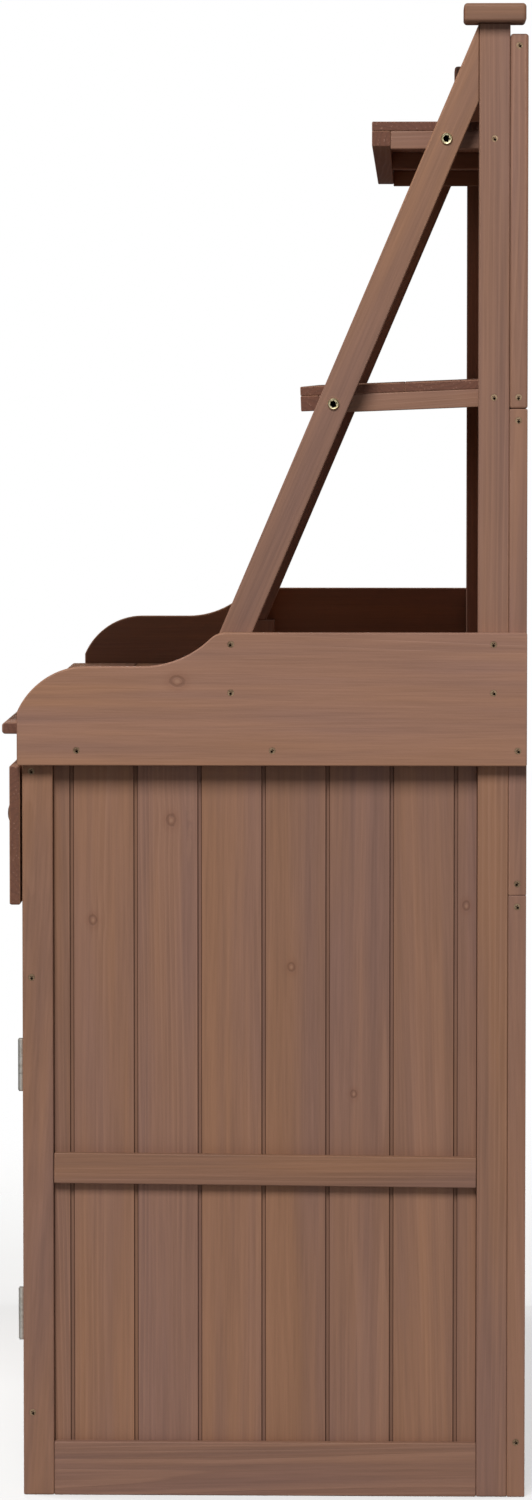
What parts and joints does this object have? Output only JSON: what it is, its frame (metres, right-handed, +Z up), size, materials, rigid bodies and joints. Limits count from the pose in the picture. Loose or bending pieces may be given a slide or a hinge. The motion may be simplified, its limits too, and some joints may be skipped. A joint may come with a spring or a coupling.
{
  "type": "potting bench",
  "caption": "Tall wooden potting bench: tongued panel sides, shaped side boards, drawers over a doored cabinet, slanted braces carrying shelves on a panelled back.",
  "frame": {"origin": "on the floor in the middle of the footprint, the drawer knobs included", "axes": "+Z up, +X to the right of somebody who faces the front, the front faces -Y"},
  "size_m": [1.18, 0.5246, 1.452],
  "materials": {
    "black_plastic": "moulded",
    "brass": "bright yellow passivated",
    "stained_wood": "brown water-based stain on fir, low gloss",
    "zinc_steel": "zinc plated"
  },
  "bodies": {
    "bench": {"front_posts": "stained_wood", "rear_posts": "stained_wood", "post_caps": "stained_wood", "side_rails": "stained_wood", "side_panel_right": "stained_wood", "side_panel_left": "stained_wood", "side_cleats": "stained_wood", "side_board_right": "stained_wood", "side_board_left": "stained_wood", "front_top_rail": "stained_wood", "front_middle_rail": "stained_wood", "front_bottom_rail": "stained_wood", "worktop_supports": "stained_wood", "worktop_boards": "stained_wood", "back_frame_lower": "stained_wood", "back_frame_middle": "stained_wood", "back_frame_upper": "stained_wood", "back_boards_lower": "stained_wood", "back_boards_middle": "stained_wood", "back_boards_upper": "stained_wood", "cabinet_floor": "stained_wood", "cabinet_shelf": "stained_wood", "drawer_divider": "stained_wood", "drawer_runners": "stained_wood", "brace_right": "stained_wood", "brace_left": "stained_wood", "brace_feet": "stained_wood", "upper_shelf_boards": "stained_wood", "upper_shelf_strip": "stained_wood", "upper_shelf_cleats": "stained_wood", "middle_shelf_boards": "stained_wood", "middle_shelf_strip": "stained_wood", "middle_shelf_cleats": "stained_wood", "hinge_frame_leaves": "zinc_steel", "hinge_pins": "zinc_steel", "door_catches": "black_plastic", "brace_bolts": "brass", "brace_nuts": "zinc_steel", "wood_screws": "zinc_steel"},
    "drawer_left": {"drawer_left_front": "stained_wood", "drawer_left_sides": "stained_wood", "drawer_left_ends": "stained_wood", "drawer_left_bottom": "stained_wood", "drawer_left_knob": "stained_wood"},
    "drawer_right": {"drawer_right_front": "stained_wood", "drawer_right_sides": "stained_wood", "drawer_right_ends": "stained_wood", "drawer_right_bottom": "stained_wood", "drawer_right_knob": "stained_wood"},
    "door_left": {"door_left_frame": "stained_wood", "door_left_boards": "stained_wood", "door_left_hinge_leaves": "zinc_steel", "door_left_knob": "stained_wood", "door_left_strike": "zinc_steel"},
    "door_right": {"door_right_frame": "stained_wood", "door_right_boards": "stained_wood", "door_right_hinge_leaves": "zinc_steel", "door_right_knob": "stained_wood", "door_right_strike": "zinc_steel"}
  },
  "joints": [
    {"name": "drawer_right_slide", "type": "slide", "parent": "bench", "child": "drawer_right", "axis": [0, -1, 0], "range_m": [0, 0.28]},
    {"name": "drawer_left_slide", "type": "slide", "parent": "bench", "child": "drawer_left", "axis": [0, -1, 0], "range_m": [0, 0.28]},
    {"name": "door_right_hinge", "type": "hinge", "parent": "bench", "child": "door_right", "pos_m": [0.54325, -0.23175, 0.2975], "axis": [0, 0, 1], "range_deg": [0, 105]},
    {"name": "door_left_hinge", "type": "hinge", "parent": "bench", "child": "door_left", "pos_m": [-0.54325, -0.23175, 0.2975], "axis": [0, 0, -1], "range_deg": [0, 105]}
  ]
}
